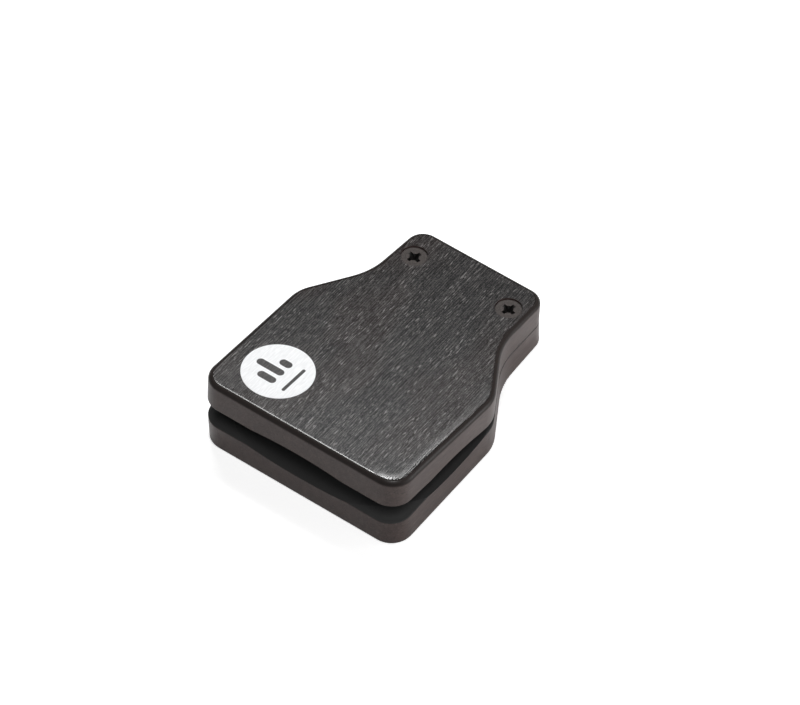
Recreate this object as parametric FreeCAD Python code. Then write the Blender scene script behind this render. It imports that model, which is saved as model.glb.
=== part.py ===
"""Hand castanets: two flat wooden plates that rock on each other at a short neck.

Each plate is wide at its striking end and narrows to a neck. Two screws pass through the necks.
Under the bottom plate's neck, in an oblong pocket, each screw carries a rubber ring, a washer and
a nut. The rings pull the necks together, and because the inner faces of the necks are planed at
an angle, the striking ends stand open. Squeezing the striking ends rocks the top plate on the
ridge where the planing starts, squashes the rings and claps the plates together.

Frame: X across the plates, -Y towards the striking end, +Z up. The origin is the centre of the
underside, halfway along the bottom plate. The castanets are modelled at rest, standing open.
"""
import FreeCAD, Part
import math
import os

from FreeCAD import Vector

# Driving dimensions, in millimetres and degrees.
WIDTH = 80.0                   # across the striking end
LENGTH = 100.7                 # front edge to back edge of one plate
THICKNESS = 10.7               # of one plate
FRONT_CORNER_R = 7.75
SHOULDER_FROM_FRONT = 52.5     # where the straight sides end
SHOULDER_R = 14.0
NECK_FROM_FRONT = 74.4         # where the neck begins
NECK_INNER_R = 25.8
NECK_FRONT_WIDTH = 53.7
NECK_BACK_WIDTH = 52.0
BACK_CORNER_R = 6.25
TOP_EDGE_R = 1.95              # roundover of the top face
UNDER_EDGE_R = 0.8             # roundover of the underside
INNER_EDGE_R = 0.4             # broken edge of the inner faces

PIVOT_FROM_FRONT = 77.0        # the ridge that the top plate rocks on
REST_OPENING = 6.15            # angle between the two inner faces at rest
NECK_GAP = 0.12                # between the planed neck faces at rest

HOLLOW_FROM_FRONT = 32.8       # centre of the dished sound hollow
HOLLOW_HALF_WIDTH = 44.2       # wider than the plate, so the hollow runs out at its sides
HOLLOW_HALF_LENGTH = 36.8      # and at the front edge
HOLLOW_DEPTH = 6.5
HOLLOW_RIM = 1.0               # the cutting ball's cap reaches this far past the hollow's edge

SCREW_X = 19.2                 # each side of the middle
SCREW_FROM_FRONT = 88.3
SCREW_R = 2.5
HEAD_R = 4.4
HEAD_EDGE = 0.3                # cylindrical rim of the countersunk head
HEAD_SUNK = 0.55               # head below the top face
HEAD_CLEARANCE = 0.03          # between the head's cone and its seat
HEAD_BORE_R = 4.65             # bore that lets the head in below the top face
CROSS_HALF_SPAN = 2.65         # cross recess in the head
CROSS_BOTTOM_HALF_SPAN = 0.8
CROSS_WIDTH = 1.35
CROSS_DEPTH = 2.4
CROSS_CORE_R = 1.6
CROSS_CORE_TIP_R = 0.6
CROSS_TURN = {"left": -17.0, "right": -12.0}
THREAD_CLEARANCE = 0.02        # between the screw and the nut
TOP_HOLE_CLEARANCE = 0.1       # screw in the top plate
LOWER_HOLE_CLEARANCE = 0.6     # screw in the bottom plate, where it leans as the plates close

WEB = 1.8                      # wood left above each pocket
RING_R = 4.5
RING_BORE_R = 2.8
RING_HEIGHT = 3.6
WASHER_R = 4.5
WASHER_BORE_R = 2.65
WASHER_HEIGHT = 0.8
NUT_ACROSS_FLATS = 8.0
NUT_HEIGHT = 2.7
NUT_CHAMFER = 0.35
POCKET_R = 4.9
POCKET_TRAVEL = 1.2            # extra length of the pocket for the nut's swing
PART_GAP = 0.005               # keeps stacked pieces from sharing a face

BADGE_X = -21.55
BADGE_FROM_FRONT = 18.0
BADGE_R = 12.15
BADGE_THICKNESS = 0.15

SIDES = {"left": -1, "right": 1}
UP = Vector(0, 0, 1)


def behind_front(distance):
    """Y of a point this far behind the front edge."""
    return distance - LENGTH / 2


PIVOT = Vector(0, behind_front(PIVOT_FROM_FRONT), THICKNESS + NECK_GAP / 2)
PLANING = REST_OPENING / 2     # each neck face takes half of the opening
TOP_FACE_Z = 2 * THICKNESS + NECK_GAP
SCREW_Y = behind_front(SCREW_FROM_FRONT)
NECK_FACE_Z = THICKNESS + NECK_GAP + (SCREW_Y - PIVOT.y) * math.tan(math.radians(PLANING))
POCKET_Z = NECK_FACE_Z - NECK_GAP - WEB
NUT_BOTTOM_Z = POCKET_Z - RING_HEIGHT - WASHER_HEIGHT - NUT_HEIGHT - 3 * PART_GAP


def raised(shape):
    """A shape modelled with the plates closed, turned with the top plate to its rest place."""
    turned = shape.copy()
    turned.rotate(PIVOT, Vector(1, 0, 0), -REST_OPENING)
    return turned


def rounded_outline(corners):
    """Closed wire through corners (x, y, radius), each rounded by a tangent arc."""
    starts, arcs, ends = [], [], []
    for index, (x, y, radius) in enumerate(corners):
        here = Vector(x, y, 0)
        before = Vector(*corners[index - 1][:2], 0) - here
        after = Vector(*corners[(index + 1) % len(corners)][:2], 0) - here
        before.normalize()
        after.normalize()
        half_angle = before.getAngle(after) / 2
        tangent = radius / math.tan(half_angle)
        bisector = (before + after).normalize()
        middle = here + bisector * (radius / math.sin(half_angle) - radius)
        starts.append(here + before * tangent)
        ends.append(here + after * tangent)
        arcs.append(Part.Arc(starts[-1], middle, ends[-1]).toShape())
    edges = []
    for index, arc in enumerate(arcs):
        edges.append(arc)
        edges.append(Part.LineSegment(ends[index], starts[(index + 1) % len(arcs)]).toShape())
    return Part.Wire(edges)


def plate_outline():
    """Seen from above: straight sides, sloping shoulders and a neck."""
    right = [
        (WIDTH / 2, behind_front(0), FRONT_CORNER_R),
        (WIDTH / 2, behind_front(SHOULDER_FROM_FRONT), SHOULDER_R),
        (NECK_FRONT_WIDTH / 2, behind_front(NECK_FROM_FRONT), NECK_INNER_R),
        (NECK_BACK_WIDTH / 2, behind_front(LENGTH), BACK_CORNER_R),
    ]
    left = [(-x, y, radius) for x, y, radius in reversed(right)]
    return rounded_outline(right + left)


def neck_wedge():
    """What planing takes off the inner face behind the ridge."""
    reach = LENGTH - PIVOT_FROM_FRONT + 1
    drop = reach * math.tan(math.radians(PLANING))
    profile = Part.makePolygon([
        Vector(-WIDTH, PIVOT.y, THICKNESS),
        Vector(-WIDTH, PIVOT.y + reach, THICKNESS - drop),
        Vector(-WIDTH, PIVOT.y + reach, THICKNESS + drop),
        Vector(-WIDTH, PIVOT.y, THICKNESS + drop),
        Vector(-WIDTH, PIVOT.y, THICKNESS),
    ])
    return Part.Face(profile).extrude(Vector(2 * WIDTH, 0, 0))


def sound_hollow():
    """An oval dish: a ball pressed into the inner face, shortened along Y."""
    ball_r = (HOLLOW_HALF_WIDTH ** 2 + HOLLOW_DEPTH ** 2) / (2 * HOLLOW_DEPTH)
    cap_angle = math.degrees(math.asin((HOLLOW_HALF_WIDTH + HOLLOW_RIM) / ball_r))
    centre = Vector(0, 0, THICKNESS - HOLLOW_DEPTH + ball_r)
    cap = Part.makeSphere(ball_r, centre, UP, -90, cap_angle - 90, 360)
    squeeze = FreeCAD.Matrix()
    squeeze.scale(Vector(1, HOLLOW_HALF_LENGTH / HOLLOW_HALF_WIDTH, 1))
    dish = cap.transformGeometry(squeeze)
    dish.translate(Vector(0, behind_front(HOLLOW_FROM_FRONT), 0))
    return dish


def on_inner_face(edge):
    """True for the edges round the inner faces, but not for the ridge between them."""
    middle = edge.valueAt((edge.FirstParameter + edge.LastParameter) / 2)
    ends = [vertex.Point for vertex in edge.Vertexes]
    if all(abs(point.y - PIVOT.y) < 1e-6 for point in ends):
        return False
    for point in ends + [middle]:
        planed = max(0, point.y - PIVOT.y) * math.tan(math.radians(PLANING))
        if abs(point.z - THICKNESS + planed) > 1e-6:
            return False
    return True


def plate(outer_edge_r):
    """One plate with its outer face down at Z 0 and its inner face up."""
    blank = Part.Face(plate_outline()).extrude(UP * THICKNESS)
    outer_edges = [edge for edge in blank.Edges if edge.BoundBox.ZMax < 1e-6]
    body = blank.makeFillet(outer_edge_r, outer_edges)
    body = body.cut(neck_wedge())
    inner_edges = [edge for edge in body.Edges if on_inner_face(edge)]
    body = body.makeFillet(INNER_EDGE_R, inner_edges)
    return body.cut(sound_hollow())


def cylinder(radius, z_low, z_high, x):
    """An upright cylinder on a screw's line."""
    return Part.makeCylinder(radius, z_high - z_low, Vector(x, SCREW_Y, z_low))


def countersunk(x, head_top, clearance):
    """The screw's head as a solid, grown sideways by a clearance."""
    rim_r = HEAD_R + clearance
    rim_z = head_top - HEAD_EDGE - clearance
    cone_height = HEAD_R - SCREW_R
    rim = cylinder(rim_r, rim_z, head_top, x)
    foot = Vector(x, SCREW_Y, rim_z - cone_height)
    return rim.fuse(Part.makeCone(SCREW_R + clearance, rim_r, cone_height, foot))


def pocket(x):
    """The oblong pocket for ring, washer and nut, open through the underside."""
    low = -THICKNESS
    front = cylinder(POCKET_R, low, POCKET_Z, x)
    back = front.translated(Vector(0, POCKET_TRAVEL, 0))
    middle = Part.makeBox(2 * POCKET_R, POCKET_TRAVEL, POCKET_Z - low, Vector(x - POCKET_R, SCREW_Y, low))
    return front.fuse([back, middle])


def bottom_plate():
    body = plate(UNDER_EDGE_R)
    for side in SIDES.values():
        x = side * SCREW_X
        hole = cylinder(SCREW_R + LOWER_HOLE_CLEARANCE, 0, TOP_FACE_Z, x)
        body = body.cut(raised(hole.fuse(pocket(x))))
    return body


def top_plate():
    closed = plate(TOP_EDGE_R).mirror(Vector(0, 0, THICKNESS), UP)
    closed.translate(UP * NECK_GAP)
    for side in SIDES.values():
        x = side * SCREW_X
        hole = cylinder(SCREW_R + TOP_HOLE_CLEARANCE, 0, TOP_FACE_Z, x)
        recess = cylinder(HEAD_BORE_R, TOP_FACE_Z - HEAD_SUNK - HEAD_EDGE, TOP_FACE_Z + 1, x)
        seat = countersunk(x, TOP_FACE_Z - HEAD_SUNK, HEAD_CLEARANCE)
        closed = closed.cut(hole.fuse([recess, seat]))
    return raised(closed)


def cross_recess(x, head_top, turn):
    """Two crossed tapering slots round a cone."""
    wing_profile = Part.makePolygon([
        Vector(-CROSS_HALF_SPAN, -CROSS_WIDTH / 2, 0),
        Vector(CROSS_HALF_SPAN, -CROSS_WIDTH / 2, 0),
        Vector(CROSS_BOTTOM_HALF_SPAN, -CROSS_WIDTH / 2, -CROSS_DEPTH),
        Vector(-CROSS_BOTTOM_HALF_SPAN, -CROSS_WIDTH / 2, -CROSS_DEPTH),
        Vector(-CROSS_HALF_SPAN, -CROSS_WIDTH / 2, 0),
    ])
    wing = Part.Face(wing_profile).extrude(Vector(0, CROSS_WIDTH, 0))
    other = wing.copy()
    other.rotate(Vector(0, 0, 0), UP, 90)
    tip = Vector(0, 0, -CROSS_DEPTH)
    core = Part.makeCone(CROSS_CORE_TIP_R, CROSS_CORE_R, CROSS_DEPTH, tip)
    cross = wing.fuse([other, core])
    cross.rotate(Vector(0, 0, 0), UP, turn)
    cross.translate(Vector(x, SCREW_Y, head_top))
    return cross


def screw(name):
    x = SIDES[name] * SCREW_X
    head_top = TOP_FACE_Z - HEAD_SUNK
    shank = cylinder(SCREW_R, NUT_BOTTOM_Z, head_top, x)
    body = countersunk(x, head_top, 0).fuse(shank).removeSplitter()
    end = [edge for edge in body.Edges if edge.BoundBox.ZMax < NUT_BOTTOM_Z + 1e-6]
    body = body.makeChamfer(NUT_CHAMFER, end)
    return raised(body.cut(cross_recess(x, head_top, CROSS_TURN[name])))


def rubber_ring(name):
    x = SIDES[name] * SCREW_X
    high = POCKET_Z - PART_GAP
    ring = cylinder(RING_R, high - RING_HEIGHT, high, x)
    return raised(ring.cut(cylinder(RING_BORE_R, high - RING_HEIGHT, high, x)))


def washer(name):
    x = SIDES[name] * SCREW_X
    high = POCKET_Z - RING_HEIGHT - 2 * PART_GAP
    disc = cylinder(WASHER_R, high - WASHER_HEIGHT, high, x)
    return raised(disc.cut(cylinder(WASHER_BORE_R, high - WASHER_HEIGHT, high, x)))


def nut(name):
    """A thin hexagon nut with chamfered corners."""
    x = SIDES[name] * SCREW_X
    corner_r = NUT_ACROSS_FLATS / math.sqrt(3)
    middle = Vector(x, SCREW_Y, NUT_BOTTOM_Z)
    points = [
        middle + Vector(corner_r * math.cos(math.radians(60 * turn)),
                        corner_r * math.sin(math.radians(60 * turn)), 0)
        for turn in range(7)
    ]
    hexagon = Part.Face(Part.makePolygon(points)).extrude(UP * NUT_HEIGHT)
    turned = cylinder(corner_r, NUT_BOTTOM_Z, NUT_BOTTOM_Z + NUT_HEIGHT, x)
    turned = turned.makeChamfer(NUT_CHAMFER, [edge for edge in turned.Edges if edge.Closed])
    bore = cylinder(SCREW_R + THREAD_CLEARANCE, NUT_BOTTOM_Z, NUT_BOTTOM_Z + NUT_HEIGHT, x)
    return raised(hexagon.common(turned).cut(bore))


def badge():
    """The round sticker on the top face."""
    centre = Vector(BADGE_X, behind_front(BADGE_FROM_FRONT), TOP_FACE_Z)
    return raised(Part.makeCylinder(BADGE_R, BADGE_THICKNESS, centre))


def build():
    nodes = {
        "bottom_plate": bottom_plate(),
        "top_plate": top_plate(),
        "badge": badge(),
    }
    for name in SIDES:
        nodes[f"{name}_screw"] = screw(name)
        nodes[f"{name}_rubber_ring"] = rubber_ring(name)
        nodes[f"{name}_washer"] = washer(name)
        nodes[f"{name}_nut"] = nut(name)
    return nodes


def main():
    os.makedirs("parts", exist_ok=True)
    for node, shape in build().items():
        box = shape.BoundBox
        print(f"{node}: solids {len(shape.Solids)} valid {shape.isValid()} volume {shape.Volume:.1f} "
              f"Z {box.ZMin:.2f} to {box.ZMax:.2f}")
        shape.exportStep(f"parts/{node}.step")


main()
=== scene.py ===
"""Looks for the hand castanets: sanded and stained plates, hardware, badge, floor, light and camera.

Metres, in the frame of the CAD model: X across the plates, -Y towards the striking end, +Z up.
"""
import math

import bpy
from mathutils import Matrix, Vector


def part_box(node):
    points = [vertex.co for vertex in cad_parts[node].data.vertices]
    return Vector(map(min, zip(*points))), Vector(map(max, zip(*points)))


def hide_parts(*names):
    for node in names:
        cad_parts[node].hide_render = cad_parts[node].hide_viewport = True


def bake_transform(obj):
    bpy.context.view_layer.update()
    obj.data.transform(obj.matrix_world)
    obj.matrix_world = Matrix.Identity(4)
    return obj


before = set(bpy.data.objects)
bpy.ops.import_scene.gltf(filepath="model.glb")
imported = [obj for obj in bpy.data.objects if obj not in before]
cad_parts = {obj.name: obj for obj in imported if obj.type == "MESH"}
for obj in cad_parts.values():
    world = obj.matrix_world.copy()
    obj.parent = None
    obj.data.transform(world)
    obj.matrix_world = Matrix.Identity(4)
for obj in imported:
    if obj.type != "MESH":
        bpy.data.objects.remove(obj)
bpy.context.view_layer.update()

MM = 0.001

# Camera: a long lens, from above the front right corner. Degrees, metres and millimetres.
AZIMUTH = 38.46
ELEVATION = 50.5
ROLL = -2.1
AIM = Vector((-0.0087, 0.0164, 0))
DISTANCE = 2.006
LENS_MM = 274.8
SENSOR_MM = 36.0

FLOOR_SIZE = 12
FLOOR_GLOW = 0.08                # as the castanets see it
FLOOR_GLOW_SEEN = 0.60           # as the camera sees it
ROOM_GLOW = 0.05

# Brushed grain, in metres.
GRAIN_TURN = math.radians(-2.5)  # off the plates' own axis
GRAIN_PITCH = 0.00078            # between two brushed lines
GRAIN_WANDER = 0.0007            # how far the lines drift sideways
GRAIN_JITTER = 12.0              # how unevenly they are spaced, in radians of their wave
BRUSHING_DEPTH = 0.00007

# The worn strip inside each plate's front right corner, on its outer face. Metres.
CORNER_R = 0.00775               # of the plates' front corners, seen from above
ROUNDOVER_R = 0.00195
WORN_WIDTH = 0.0030              # where sanding has let the face fall away
WORN_SLOPE = 0.20

# Stain colours, linear. Two of them are painted light, not stain: the bright flecks are painted glints,
# and the inner faces' grey is painted fill light.
STAIN_COOL = (0.0046, 0.0050, 0.0052, 1)
STAIN_WARM = (0.0085, 0.0050, 0.0044, 1)
STAIN_RAISED = (0.048, 0.043, 0.0418, 1)  # on the tops of the brushed lines
STAIN_THIN = (0.18, 0.162, 0.157, 1)      # in streaks that took less of it
STAIN_PORE = (0.001, 0.001, 0.001, 1)
# Painted glints: bright flecks in the colour of the brushed face.
GLINT_FLECK_PAINTED = (0.40, 0.38, 0.37, 1)
SIDE_DARK = (0.050, 0.033, 0.030, 1)
SIDE_LIGHT = (0.062, 0.042, 0.0375, 1)
SIDE_PORE = (0.020, 0.013, 0.012, 1)
SIDE_FLECK = (0.105, 0.076, 0.069, 1)
ROUNDOVER_STAIN = (0.026, 0.0215, 0.020, 1)
# Painted fill light: a lifted neutral grey on the inner faces, where the gap between the plates lies in
# shade.
INNER_FILL_PAINTED = (0.047, 0.047, 0.047, 1)

# Softboxes: name, azimuth, elevation, distance, width, watts. Each faces the castanets.
SOFTBOXES = (
    ("key", 216, 69, 0.40, 0.05, 0.44),
    ("key_right", 198, 56, 0.40, 0.10, 0.24),
    ("key_left", 236, 58, 0.40, 0.10, 0.35),
    ("right_low", 95, 14, 0.30, 0.10, 0.09),
    ("right_behind", 120, 8, 0.30, 0.10, 0.30),
    ("camera_fill", 50, 59, 1.00, 0.45, 3.90),
    ("front_fill", 330, 12, 1.00, 0.30, 0.19),
)

# The mark on the badge, in millimetres from its centre: three bars and a base line, each with
# its middle, half its straight length and its radius. First number along X, second along Y.
BADGE_BARS = (
    (-1.3, -4.3, 2.1, 0, 1.4),
    (-3.1, 0.0, 3.9, 0, 1.4),
    (-0.1, 4.3, 0.9, 0, 1.4),
    (6.3, 0.0, 0, 5.4, 0.6),
)

# Rubber rings, in millimetres.
RING_R = 4.5
RING_BORE_R = 2.8
RING_HEIGHT = 3.6
RING_EDGE_R = 0.5
RING_BULGE = 0.25                # how much narrower the ends are than the middle
RING_TURNS = 72                  # facets round the ring
RING_CORNER_STEPS = 6            # facets on each rounded corner

# The bottom plate's box is read from the frame. The opening is the CAD model's, at rest.
PLATE_LOW, PLATE_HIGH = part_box("bottom_plate")
REST_OPENING = math.radians(6.15)
LEVEL = Matrix.Rotation(REST_OPENING, 3, "X")  # lays the raised top plate level

collection = bpy.context.scene.collection


def direction(azimuth, elevation):
    """Unit vector from the object towards an azimuth (0 is -Y, 90 is +X) and elevation in degrees."""
    turn = math.radians(azimuth)
    rise = math.radians(elevation)
    return Vector((math.sin(turn) * math.cos(rise), -math.cos(turn) * math.cos(rise), math.sin(rise)))


def place_looking(item, place, right, up, back):
    """Puts a camera or light at a place, with its own three axes along right, up and back."""
    item.matrix_world = Matrix((
        (right.x, up.x, back.x, place.x),
        (right.y, up.y, back.y, place.y),
        (right.z, up.z, back.z, place.z),
        (0, 0, 0, 1),
    ))


def add_camera():
    """A long-lens view, rolled a little about its own line of sight."""
    back = direction(AZIMUTH, ELEVATION)
    level = Vector((math.cos(math.radians(AZIMUTH)), math.sin(math.radians(AZIMUTH)), 0))
    roll = math.radians(ROLL)
    right = level * math.cos(roll) + back.cross(level) * math.sin(roll)
    data = bpy.data.cameras.new("camera")
    data.lens = LENS_MM
    data.sensor_width = SENSOR_MM
    data.clip_end = 20
    camera = bpy.data.objects.new("camera", data)
    collection.objects.link(camera)
    place_looking(camera, AIM + back * DISTANCE, right, back.cross(right), back)
    bpy.context.scene.camera = camera


def add_softbox(name, azimuth, elevation, distance, width, watts):
    """A square light that faces the castanets."""
    data = bpy.data.lights.new(name, "AREA")
    data.shape = "SQUARE"
    data.size = width
    data.energy = watts
    light = bpy.data.objects.new(name, data)
    collection.objects.link(light)
    back = direction(azimuth, elevation)
    right = Vector((0, 0, 1)).cross(back).normalized()
    place_looking(light, back * distance, right, back.cross(right), back)


class Nodes:
    """Short calls for building one node tree."""

    def __init__(self, tree):
        self.tree = tree

    def add(self, kind, **settings):
        node = self.tree.nodes.new(kind)
        for key, value in settings.items():
            setattr(node, key, value)
        return node

    def link(self, output, target):
        self.tree.links.new(output, target)

    def put(self, target, value):
        """Links an output, or sets a plain value."""
        if hasattr(value, "is_output"):
            self.link(value, target)
        else:
            target.default_value = value

    def math(self, operation, a, b=0.0):
        node = self.add("ShaderNodeMath", operation=operation)
        for slot, value in zip(node.inputs, (a, b)):
            self.put(slot, value)
        return node.outputs[0]

    def square(self, value):
        return self.math("MULTIPLY", value, value)

    def weighted(self, *pairs):
        """Sum of values, each times its weight."""
        total = 0.0
        for value, weight in pairs:
            total = self.math("ADD", total, self.math("MULTIPLY", value, weight))
        return total

    def mapped(self, vector, scale, location=(0, 0, 0), rotation=(0, 0, 0)):
        node = self.add("ShaderNodeMapping")
        self.put(node.inputs["Vector"], vector)
        node.inputs["Scale"].default_value = scale
        node.inputs["Location"].default_value = location
        node.inputs["Rotation"].default_value = rotation
        return node.outputs[0]

    def split(self, vector):
        node = self.add("ShaderNodeSeparateXYZ")
        self.link(vector, node.inputs[0])
        return node.outputs

    def noise(self, vector, scale, detail):
        node = self.add("ShaderNodeTexNoise")
        self.put(node.inputs["Vector"], vector)
        node.inputs["Scale"].default_value = scale
        node.inputs["Detail"].default_value = detail
        return node.outputs["Fac"]

    def streaks(self, vector, frequency, offset=(0, 0, 0), detail=0.0):
        """Noise drawn out along the axes with a low frequency, given per metre along X, Y and Z."""
        return self.noise(self.mapped(vector, frequency, location=offset), 1.0, detail)

    def ramp(self, value, low, high, out_low=0.0, out_high=1.0, smooth=True):
        """Falls or rises from out_low at low to out_high at high, and stays there beyond."""
        node = self.add("ShaderNodeMapRange", clamp=True)
        node.interpolation_type = "SMOOTHSTEP" if smooth else "LINEAR"
        self.put(node.inputs["Value"], value)
        limits = {"From Min": low, "From Max": high, "To Min": out_low, "To Max": out_high}
        for key, number in limits.items():
            self.put(node.inputs[key], number)
        return node.outputs[0]

    def mix(self, factor, a, b):
        node = self.add("ShaderNodeMix", data_type="RGBA")
        self.put(node.inputs[0], factor)
        self.put(node.inputs[6], a)
        self.put(node.inputs[7], b)
        return node.outputs[2]

    def bump(self, height, distance, normal=None):
        node = self.add("ShaderNodeBump")
        node.inputs["Strength"].default_value = 1.0
        node.inputs["Distance"].default_value = distance
        self.put(node.inputs["Height"], height)
        if normal is not None:
            self.link(normal, node.inputs["Normal"])
        return node.outputs[0]


def grey(level):
    return (level, level, level, 1)


def new_material(name):
    """A new material, its nodes and its shader."""
    material = bpy.data.materials.new(name)
    material.use_nodes = True
    nodes = Nodes(material.node_tree)
    shader = material.node_tree.nodes["Principled BSDF"]
    return material, nodes, shader


def plate_space(n, tilt):
    """Place with the plate laid level, and how far the surface faces up then."""
    turn = (tilt, 0, 0)
    place = n.mapped(n.add("ShaderNodeTexCoord").outputs["Object"], (1, 1, 1), rotation=turn)
    normal = n.mapped(n.add("ShaderNodeNewGeometry").outputs["Normal"], (1, 1, 1), rotation=turn)
    return place, n.split(normal)[2]


def worn_corner(n, place, front):
    """How far the face has been sanded away round the front right corner, fading out along both edges.

    Returns that depth, and how worn the face is from 0 to 1.
    """
    x, y, _ = n.split(place)
    middle_x = PLATE_HIGH.x - CORNER_R
    middle_y = front + CORNER_R
    right = n.math("SUBTRACT", x, middle_x)
    ahead = n.math("SUBTRACT", middle_y, y)
    right_in = n.math("MAXIMUM", right, 0.0)
    ahead_in = n.math("MAXIMUM", ahead, 0.0)
    squares = n.math("ADD", n.square(right_in), n.square(ahead_in))
    start = CORNER_R - ROUNDOVER_R - WORN_WIDTH
    past = n.math("MAXIMUM", n.math("SUBTRACT", n.math("SQRT", squares), start), 0.0)
    curved = n.math("MINIMUM", past, WORN_WIDTH)
    straight = n.math("SUBTRACT", past, curved)
    drop = n.math("ADD", n.math("MULTIPLY", n.square(curved), 0.5 / WORN_WIDTH), straight)
    along_front = n.ramp(right, -0.006, 0.004)
    along_side = n.ramp(ahead, -0.035, -0.006, 0.4, 1.0)
    strength = n.math("MULTIPLY", along_front, along_side)
    worn = n.math("MULTIPLY", n.ramp(past, 0, WORN_WIDTH), strength)
    return n.math("MULTIPLY", drop, n.math("MULTIPLY", strength, -WORN_SLOPE)), worn


def wandering(n, place):
    """The place shifted sideways a little, so that the grain isn't dead straight."""
    drift = n.streaks(place, (70, 22, 70), detail=2.0)
    shift = n.add("ShaderNodeCombineXYZ")
    n.put(shift.inputs[0], n.math("MULTIPLY", n.math("SUBTRACT", drift, 0.5), GRAIN_WANDER))
    added = n.add("ShaderNodeVectorMath", operation="ADD")
    n.link(place, added.inputs[0])
    n.link(shift.outputs[0], added.inputs[1])
    return added.outputs[0]


def brushed_face(n, grain, broad):
    """Colour of the brushed outer face, with its height, tone and pores."""
    long_lines = n.streaks(grain, (2600, 110, 2600))
    lines = n.streaks(grain, (2900, 500, 2900), (4, 7, 1))
    grit = n.streaks(grain, (2700, 2500, 2700), (2, 9, 5))
    jitter = n.streaks(grain, (900, 40, 900), (7, 2, 3), 1.0)
    turns = n.math("MULTIPLY", n.split(grain)[0], 2 * math.pi / GRAIN_PITCH)
    phase = n.math("ADD", turns, n.math("MULTIPLY", jitter, GRAIN_JITTER))
    bands = n.math("ADD", n.math("MULTIPLY", n.math("SINE", phase), 0.5), 0.5)
    height = n.weighted((long_lines, 0.14), (lines, 0.27), (grit, 0.42), (bands, 0.17))
    tone = n.ramp(height, 0.30, 0.72)

    pore_lines = n.streaks(grain, (3000, 300, 3000), (3, 1, 2))
    pore = n.math("MULTIPLY", n.ramp(pore_lines, 0.62, 0.80, 0, 0.35), broad)
    streak_noise = n.streaks(grain, (2700, 330, 2700), (8, 5, 4))
    streak = n.math("MULTIPLY", n.ramp(streak_noise, 0.60, 0.78), bands)
    # Bright flecks painted into the colour as glints, denser in random clusters.
    clusters = n.streaks(grain, (130, 45, 130), (1, 6, 2), 2.0)
    fleck_floor = n.ramp(clusters, 0.35, 0.65, 0.76, 0.67)
    fleck_noise = n.streaks(grain, (2900, 420, 2900), (9, 4, 7))
    fleck = n.ramp(fleck_noise, fleck_floor, n.math("ADD", fleck_floor, 0.08))
    tint = n.streaks(grain, (55, 30, 55), (5, 2, 8), 1.0)

    color = n.mix(n.ramp(tint, 0.4, 0.6), STAIN_COOL, STAIN_WARM)
    color = n.mix(n.math("POWER", tone, 2.0), color, STAIN_RAISED)
    color = n.mix(n.math("MULTIPLY", streak, 0.30), color, STAIN_THIN)
    color = n.mix(pore, color, STAIN_PORE)
    color = n.mix(n.math("MULTIPLY", fleck, 0.32), color, GLINT_FLECK_PAINTED)
    return color, height, tone, pore


def plate_sides(n, grain):
    """Colour of the sides: a soft figure with short pores and flecks."""
    figure = n.streaks(grain, (420, 25, 420), (3, 3, 1), 2.0)
    end_pores = n.streaks(grain, (2100, 300, 2100), (6, 3, 8), 1.0)
    color = n.mix(n.ramp(figure, 0.35, 0.65), SIDE_DARK, SIDE_LIGHT)
    color = n.mix(n.ramp(end_pores, 0.42, 0.26, 0, 0.8), color, SIDE_PORE)
    return n.mix(n.ramp(end_pores, 0.58, 0.74, 0, 0.6), color, SIDE_FLECK)


def stained_wood(name, tilt, inner_side, front):
    """Black-stained wood, brushed open-pored on its broad outer face and smooth on its rounded edges.

    The grain runs along Y, turned by tilt with the plate. inner_side is +1 or -1: the side of Z
    that the plate's dull inner face is on. front is where the plate starts along Y.
    """
    material, n, shader = new_material(name)
    place, facing = plate_space(n, tilt)
    grain = wandering(n, n.mapped(place, (1, 1, 1), rotation=(0, 0, GRAIN_TURN)))
    outward = n.math("MULTIPLY", facing, -inner_side)
    broad = n.ramp(outward, 0.970, 0.996)
    rounding = n.ramp(outward, 0.05, 0.40)
    inner = n.ramp(outward, -0.4, -0.7)
    fall, worn = worn_corner(n, place, front)
    rubbed = n.math("MAXIMUM", n.ramp(outward, 0.999, 0.990), worn)
    rubbed = n.math("MULTIPLY", rubbed, n.ramp(outward, 0.90, 0.96))

    brushed, height, tone, pore = brushed_face(n, grain, broad)
    smooth = n.mix(rounding, plate_sides(n, grain), ROUNDOVER_STAIN)
    # The inner faces take a lifted grey, which is painted fill light in the shaded gap between the
    # plates.
    n.link(n.mix(inner, n.mix(broad, smooth, brushed), INNER_FILL_PAINTED), shader.inputs["Base Color"])

    height = n.math("SUBTRACT", height, n.math("MULTIPLY", pore, 0.6))
    height = n.math("MULTIPLY", height, n.ramp(broad, 0, 1, 0.06, 1.0, smooth=False))
    brushed_normal = n.bump(height, BRUSHING_DEPTH)
    n.link(n.bump(fall, 1.0, brushed_normal), shader.inputs["Normal"])

    roughness = n.ramp(rubbed, 0, 1, 0.36, 0.20)
    n.put(shader.inputs["Roughness"], n.math("MAXIMUM", roughness, n.math("MULTIPLY", inner, 0.80)))
    edge_gloss = n.mix(rounding, grey(0.40), grey(0.12))
    broad_gloss = n.ramp(n.math("SUBTRACT", tone, pore), -0.5, 1, 0.05, 0.58, smooth=False)
    gloss = n.mix(broad, edge_gloss, broad_gloss)
    gloss = n.mix(rubbed, gloss, grey(0.75))
    n.link(n.mix(inner, gloss, grey(0.15)), shader.inputs["Specular IOR Level"])
    return material


def level_middle(node):
    """Middle of a piece of the top plate's, and its highest point, once the plate is laid level."""
    points = [LEVEL @ v.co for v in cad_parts[node].data.vertices]
    low = Vector([min(p[k] for p in points) for k in range(3)])
    high = Vector([max(p[k] for p in points) for k in range(3)])
    return (low + high) / 2, high.z


def front_edge(node):
    """Where a piece of the top plate's starts along Y, once the plate is laid level."""
    return min((LEVEL @ v.co).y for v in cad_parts[node].data.vertices)


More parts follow.
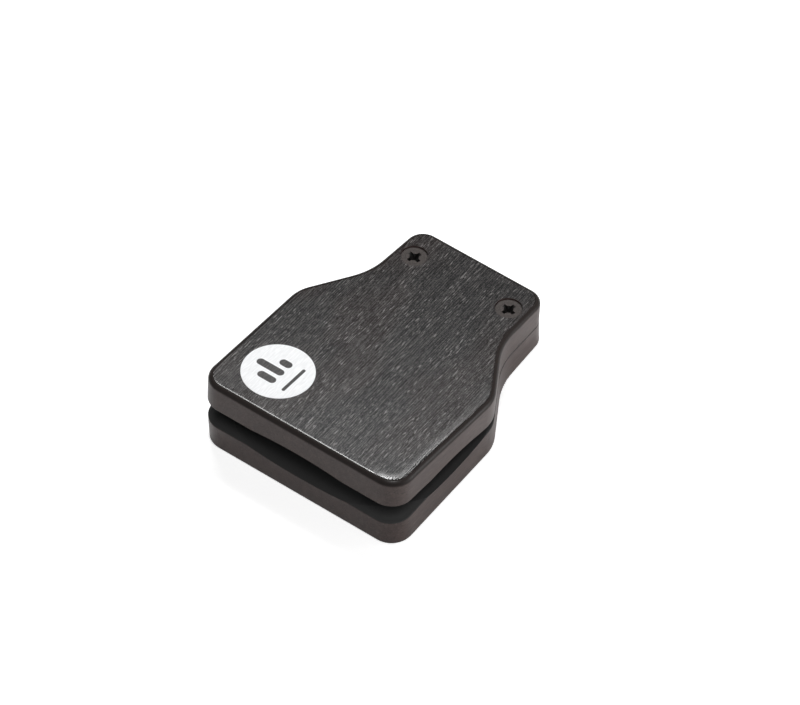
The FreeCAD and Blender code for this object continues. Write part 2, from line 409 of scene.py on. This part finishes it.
def level_place(n, middle):
    """Place from a piece's middle, turned level with the top plate."""
    place = n.add("ShaderNodeTexCoord").outputs["Object"]
    turned = n.mapped(place, (1, 1, 1), rotation=(REST_OPENING, 0, 0))
    return n.mapped(turned, (1, 1, 1), location=tuple(-middle))


def from_bar(n, x, y, bar):
    """Distance to the outline of one rounded bar, below zero inside it."""
    middle_x, middle_y, half_x, half_y, radius = (number * MM for number in bar)
    across = n.math("ABSOLUTE", n.math("SUBTRACT", x, middle_x))
    along = n.math("ABSOLUTE", n.math("SUBTRACT", y, middle_y))
    across = n.math("MAXIMUM", n.math("SUBTRACT", across, half_x), 0.0)
    along = n.math("MAXIMUM", n.math("SUBTRACT", along, half_y), 0.0)
    squares = n.math("ADD", n.square(across), n.square(along))
    return n.math("SUBTRACT", n.math("SQRT", squares), radius)


def badge_print(name):
    """White print over brushed wood, with a generic mark left open so that the stain shows."""
    material, n, shader = new_material(name)
    middle, _ = level_middle("badge")
    place = level_place(n, middle)
    x, y, _ = n.split(place)
    mark = from_bar(n, x, y, BADGE_BARS[0])
    for bar in BADGE_BARS[1:]:
        mark = n.math("MINIMUM", mark, from_bar(n, x, y, bar))
    opened = n.ramp(mark, 0.00006, -0.00006)
    lines = n.streaks(place, (2300, 330, 2300), detail=1.0)
    grit = n.noise(place, 2600, 1.0)
    worn = n.ramp(n.streaks(place, (1500, 500, 1500), detail=1.0), 0.66, 0.80)
    ink = n.mix(n.ramp(lines, 0.35, 0.7), (0.84, 0.85, 0.86, 1), (0.93, 0.94, 0.95, 1))
    ink = n.mix(n.math("MULTIPLY", worn, 0.25), ink, (0.55, 0.55, 0.56, 1))
    stain = n.mix(n.ramp(lines, 0.35, 0.75), (0.016, 0.015, 0.0155, 1), (0.055, 0.050, 0.049, 1))
    n.link(n.mix(opened, ink, stain), shader.inputs["Base Color"])
    n.put(shader.inputs["Roughness"], n.ramp(grit, 0.3, 0.7, 0.36, 0.50))
    height = n.weighted((lines, 1.0), (opened, -0.5))
    n.link(n.bump(height, 0.00002), shader.inputs["Normal"])
    return material


def black_screw(name, node):
    """Blackened steel: a turned head with faint rings and thin spots, and near-black painted shade in
    its recess below the head's face.
    """
    material, n, shader = new_material(name)
    middle, top = level_middle(node)
    place = level_place(n, Vector((middle.x, middle.y, top)))
    x, y, z = n.split(place)
    radius = n.math("SQRT", n.math("ADD", n.square(x), n.square(y)))
    ring_place = n.add("ShaderNodeCombineXYZ")
    n.put(ring_place.inputs[0], n.math("MULTIPLY", radius, 1500))
    n.put(ring_place.inputs[1], n.math("MULTIPLY", z, 1500))
    rings = n.noise(ring_place.outputs[0], 1.0, 1.0)
    grit = n.noise(place, 1900, 2.0)
    blotch = n.noise(place, 500, 2.0)
    # Painted shade: below the head's face, in the cross recess, the colour goes near-black and less
    # metallic.
    shaded_recess = n.ramp(z, -0.00005, -0.00035)
    tone = n.weighted((grit, 0.6), (rings, 0.4))
    oxide = n.mix(n.ramp(tone, 0.34, 0.66), (0.040, 0.034, 0.032, 1), (0.078, 0.068, 0.064, 1))
    oxide = n.mix(n.ramp(blotch, 0.55, 0.75, 0, 0.35), oxide, (0.10, 0.088, 0.083, 1))
    n.link(n.mix(shaded_recess, oxide, (0.006, 0.0055, 0.005, 1)), shader.inputs["Base Color"])
    n.put(shader.inputs["Metallic"], n.ramp(shaded_recess, 0, 1, 0.6, 0.1))
    n.put(shader.inputs["Roughness"], n.ramp(grit, 0.3, 0.7, 0.40, 0.55))
    height = n.weighted((rings, 0.6), (grit, 0.4))
    n.link(n.bump(height, 0.00002), shader.inputs["Normal"])
    return material


def zinc_steel(name):
    """Bright zinc plating, slightly yellowed, with fine handling scratches."""
    material, n, shader = new_material(name)
    place = n.add("ShaderNodeTexCoord").outputs["Object"]
    cloud = n.noise(place, 420, 3.0)
    grit = n.noise(place, 2400, 2.0)
    scratches = n.noise(n.mapped(place, (4200, 260, 900), rotation=(0.2, 0.1, 0.7)), 1.0, 1.0)
    scratch = n.ramp(scratches, 0.62, 0.72)
    color = n.mix(n.ramp(cloud, 0.35, 0.65), (0.50, 0.49, 0.46, 1), (0.66, 0.65, 0.63, 1))
    color = n.mix(n.math("MULTIPLY", scratch, 0.5), color, (0.80, 0.80, 0.79, 1))
    n.link(color, shader.inputs["Base Color"])
    shader.inputs["Metallic"].default_value = 1.0
    roughness = n.weighted((n.ramp(cloud, 0.3, 0.7, 0.26, 0.42), 1.0), (grit, 0.08))
    n.put(shader.inputs["Roughness"], roughness)
    height = n.weighted((grit, 0.5), (scratch, -0.6))
    n.link(n.bump(height, 0.000012), shader.inputs["Normal"])
    return material


def black_rubber(name):
    """Moulded rubber: dull, with a fine grain, a little dust and faint mould lines round it."""
    material, n, shader = new_material(name)
    place = n.add("ShaderNodeTexCoord").outputs["Object"]
    grain = n.noise(place, 2600, 2.0)
    dust = n.ramp(n.noise(place, 700, 3.0), 0.50, 0.75)
    mould = n.streaks(place, (60, 60, 2200), detail=1.0)
    color = n.mix(n.ramp(grain, 0.3, 0.7), (0.014, 0.014, 0.015, 1), (0.026, 0.026, 0.027, 1))
    color = n.mix(n.math("MULTIPLY", dust, 0.35), color, (0.09, 0.088, 0.085, 1))
    n.link(color, shader.inputs["Base Color"])
    n.put(shader.inputs["Roughness"], n.ramp(dust, 0, 1, 0.62, 0.85))
    height = n.weighted((grain, 0.6), (mould, 0.4))
    n.link(n.bump(height, 0.00004), shader.inputs["Normal"])
    return material


def ring_profile():
    """The rubber ring's section, with rounded corners and a bulged outside: radius and height in mm."""
    half = RING_HEIGHT / 2
    steps = RING_CORNER_STEPS
    points = []
    for corner in range(4):
        outer = corner in (0, 1)
        upper = corner in (1, 2)
        middle_r = RING_R - RING_BULGE - RING_EDGE_R if outer else RING_BORE_R + RING_EDGE_R
        middle_z = (half - RING_EDGE_R) * (1 if upper else -1)
        for step in range(steps + 1):
            angle = math.radians(-90 + 90 * corner + 90 * step / steps)
            radius = middle_r + RING_EDGE_R * math.cos(angle)
            points.append((radius, middle_z + RING_EDGE_R * math.sin(angle)))
        if corner == 0:
            reach = half - RING_EDGE_R
            for step in range(1, 2 * steps):
                height = -reach + reach * step / steps
                bulge = RING_BULGE * (1 - (height / reach) ** 2)
                points.append((RING_R - RING_BULGE + bulge, height))
    return points


def add_rubber_ring(side, material):
    """A moulded ring in place of the plain CAD one.

    It is put where the CAD ring is, tilted with the top plate at rest, and the CAD ring is hidden.
    """
    name = f"{side}_rubber_ring"
    low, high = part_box(name)
    profile = ring_profile()
    points = []
    for turn in range(RING_TURNS):
        angle = 2 * math.pi * turn / RING_TURNS
        points += [(r * MM * math.cos(angle), r * MM * math.sin(angle), z * MM) for r, z in profile]
    count = len(profile)
    faces = []
    for turn in range(RING_TURNS):
        here = turn * count
        beyond = (turn + 1) % RING_TURNS * count
        for i in range(count):
            after = (i + 1) % count
            faces.append((here + i, beyond + i, beyond + after, here + after))
    mesh = bpy.data.meshes.new(f"{side}_ring")
    mesh.from_pydata(points, [], faces)
    middle = (low + high) / 2
    upright = LEVEL.inverted()
    mesh.transform(Matrix.Translation(middle) @ upright.to_4x4())
    mesh.materials.append(material)
    smooth_by_angle(mesh, 60)
    ring = bpy.data.objects.new(f"{side}_ring", mesh)
    collection.objects.link(ring)
    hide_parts(name)
    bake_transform(ring)


def smooth_by_angle(mesh, degrees):
    """Smooth shading, with edges sharper than the angle kept sharp."""
    mesh.polygons.foreach_set("use_smooth", [True] * len(mesh.polygons))
    mesh.set_sharp_from_angle(angle=math.radians(degrees))


def dress(node, material):
    """Gives a CAD piece its material."""
    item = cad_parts[node]
    item.data.materials.clear()
    item.data.materials.append(material)
    smooth_by_angle(item.data, 30)


def add_floor():
    """A white floor. It glows a little, and more to the camera than to the castanets."""
    bpy.ops.mesh.primitive_plane_add(size=FLOOR_SIZE)
    floor = bpy.context.object
    floor.name = "floor"
    material, n, shader = new_material("floor")
    shader.inputs["Base Color"].default_value = (0.86, 0.86, 0.86, 1)
    shader.inputs["Roughness"].default_value = 0.9
    shader.inputs["Specular IOR Level"].default_value = 0.0
    shader.inputs["Emission Color"].default_value = (1, 1, 1, 1)
    seen = n.add("ShaderNodeLightPath").outputs["Is Camera Ray"]
    n.put(shader.inputs["Emission Strength"], n.ramp(seen, 0, 1, FLOOR_GLOW, FLOOR_GLOW_SEEN))
    floor.data.materials.append(material)


def add_world():
    """A dim room."""
    world = bpy.data.worlds.new("studio")
    bpy.context.scene.world = world
    world.use_nodes = True
    background = world.node_tree.nodes["Background"]
    background.inputs["Strength"].default_value = ROOM_GLOW
    background.inputs["Color"].default_value = (1, 1, 1, 1)


add_camera()
add_world()
add_floor()
for name, azimuth, elevation, distance, width, watts in SOFTBOXES:
    add_softbox(name, azimuth, elevation, distance, width, watts)

dress("bottom_plate", stained_wood("wood_lower", 0, 1, PLATE_LOW.y))
dress("top_plate", stained_wood("wood_upper", REST_OPENING, -1, front_edge("top_plate")))
dress("badge", badge_print("badge_print"))
zinc = zinc_steel("zinc")
rubber = black_rubber("rubber")
for side in ("left", "right"):
    dress(f"{side}_screw", black_screw(f"{side}_black_screw", f"{side}_screw"))
    dress(f"{side}_washer", zinc)
    dress(f"{side}_nut", zinc)
    add_rubber_ring(side, rubber)
bpy.context.scene.view_settings.view_transform = "Standard"
